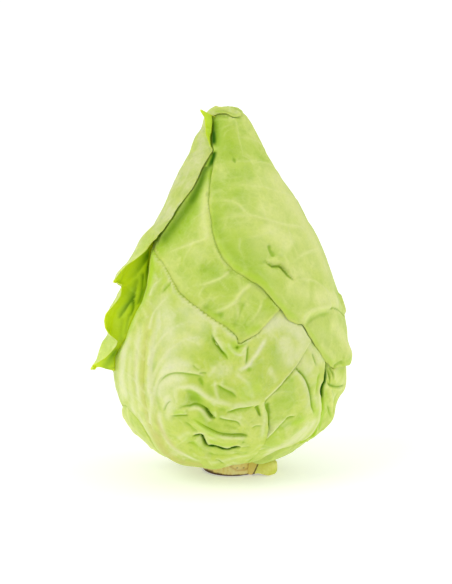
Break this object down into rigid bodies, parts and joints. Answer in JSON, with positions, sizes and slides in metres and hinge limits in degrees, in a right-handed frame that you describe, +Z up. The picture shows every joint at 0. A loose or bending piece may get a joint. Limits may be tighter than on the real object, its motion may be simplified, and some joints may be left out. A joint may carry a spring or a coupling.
{
  "type": "pointed cabbage",
  "caption": "Pointed head of cabbage with smooth overlapping pale green leaves, a ruffled outer leaf margin and a short cut stalk it stands on.",
  "frame": {"origin": "centre of the cut face at the bottom of the stalk, on the surface that the head stands on", "axes": "+Z up from the cut stalk to the pointed tip, -Y towards the front, where the large veined leaf shows, +X to the right as seen from the front"},
  "size_m": [0.1534, 0.1357, 0.2207],
  "materials": {
    "cut_stalk": "fibrous cut stalk, tan and beige, browned at the cut edge",
    "leaf_stub": "moist cut leaf base, yellow-green with a browned seam",
    "heart_leaves": "waxy pale leaf",
    "lower_leaf": "waxy leaf with soft sheen",
    "pale_leaf": "waxy leaf, whitish along its broad midrib and veins",
    "outer_leaf": "waxy leaf with fine pale veins and soft sheen",
    "flared_leaf": "waxy leaf, brighter yellow-green along its ruffled margin"
  },
  "bodies": {
    "root": {"cut_stalk": "cut_stalk", "cut_leaf_stub": "leaf_stub", "heart": "heart_leaves", "left_lower_leaf": "lower_leaf", "back_lower_leaf": "lower_leaf", "right_lower_leaf": "lower_leaf", "front_lower_leaf": "lower_leaf", "front_left_leaf": "pale_leaf", "front_upper_leaf": "outer_leaf", "right_upper_leaf": "outer_leaf", "left_upper_leaf": "flared_leaf"}
  },
  "joints": []
}
